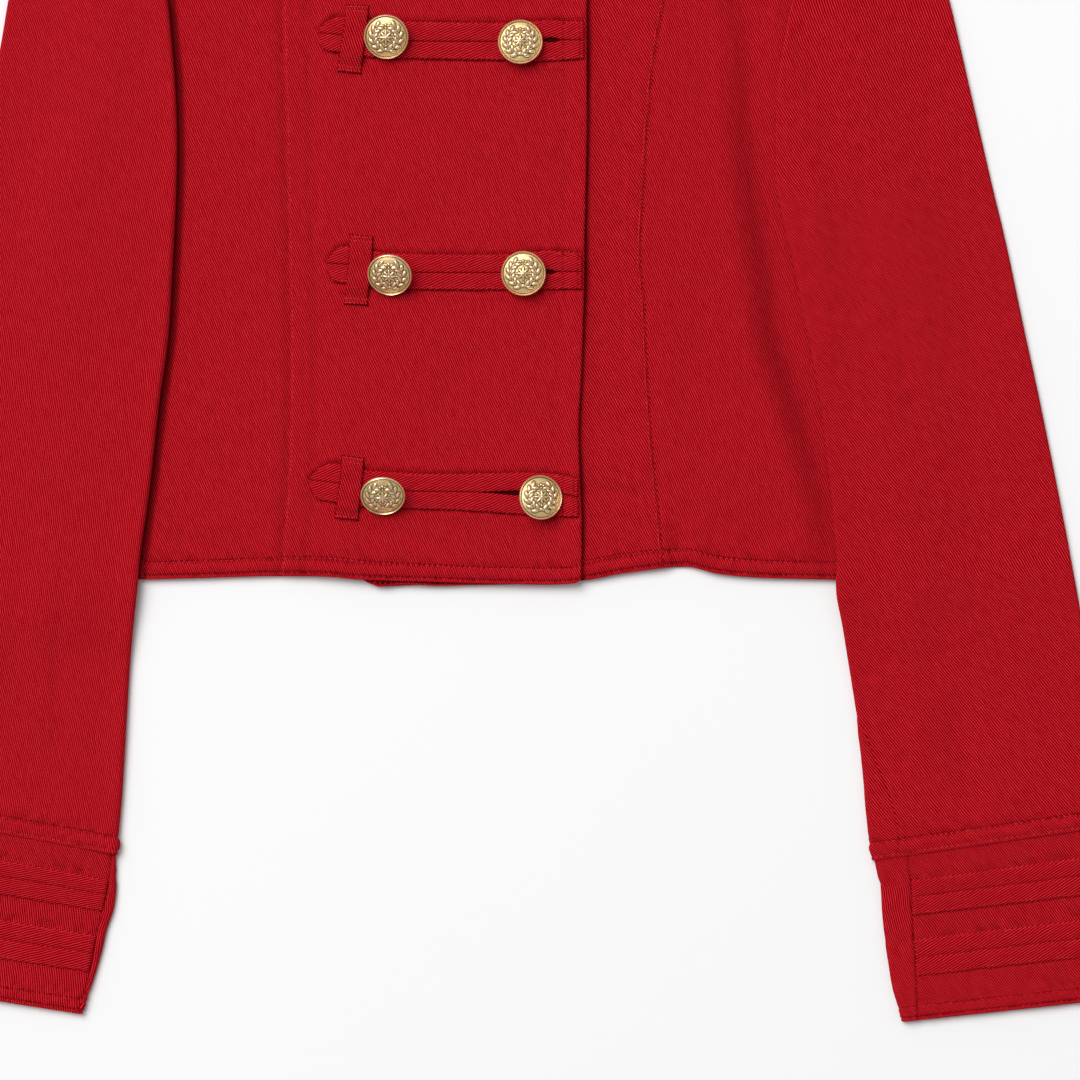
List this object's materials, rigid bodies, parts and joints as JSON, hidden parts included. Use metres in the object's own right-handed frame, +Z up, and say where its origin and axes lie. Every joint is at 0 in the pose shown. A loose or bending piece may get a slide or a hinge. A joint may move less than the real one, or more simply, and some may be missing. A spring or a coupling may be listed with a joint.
{
  "type": "short military-style blazer",
  "caption": "Short fitted jacket in red twill with a stand collar, crossed front, folded tape fastenings and domed metal buttons, laid flat on its back.",
  "frame": {"origin": "middle of the back's flat underside, where it rests on the table", "axes": "+Z up from the table, +Y towards the collar, -X towards the wearer's right sleeve"},
  "size_m": [0.6531, 0.6726, 0.021],
  "materials": {
    "red_twill": "matt cotton twill",
    "red_tape": "ribbed woven tape",
    "pale_brass": "stippled ground with polished relief"
  },
  "bodies": {
    "root": {"back": "red_twill", "front_side_right": "red_twill", "front_centre_right": "red_twill", "front_centre_left": "red_twill", "front_side_left": "red_twill", "collar": "red_twill", "sleeve_right_upper": "red_twill", "sleeve_right_under": "red_twill", "sleeve_left_upper": "red_twill", "sleeve_left_under": "red_twill", "cuff_right_front": "red_twill", "cuff_right_back": "red_twill", "cuff_left_front": "red_twill", "cuff_left_back": "red_twill", "cuff_right_tape_upper": "red_tape", "cuff_right_tape_lower": "red_tape", "cuff_left_tape_upper": "red_tape", "cuff_left_tape_lower": "red_tape", "front_tape_top": "red_tape", "front_tape_middle": "red_tape", "front_tape_bottom": "red_tape", "tab_top": "red_tape", "tab_middle": "red_tape", "tab_bottom": "red_tape", "button_top_outer": "pale_brass", "button_top_inner": "pale_brass", "button_middle_outer": "pale_brass", "button_middle_inner": "pale_brass", "button_bottom_outer": "pale_brass", "button_bottom_inner": "pale_brass"}
  },
  "joints": []
}
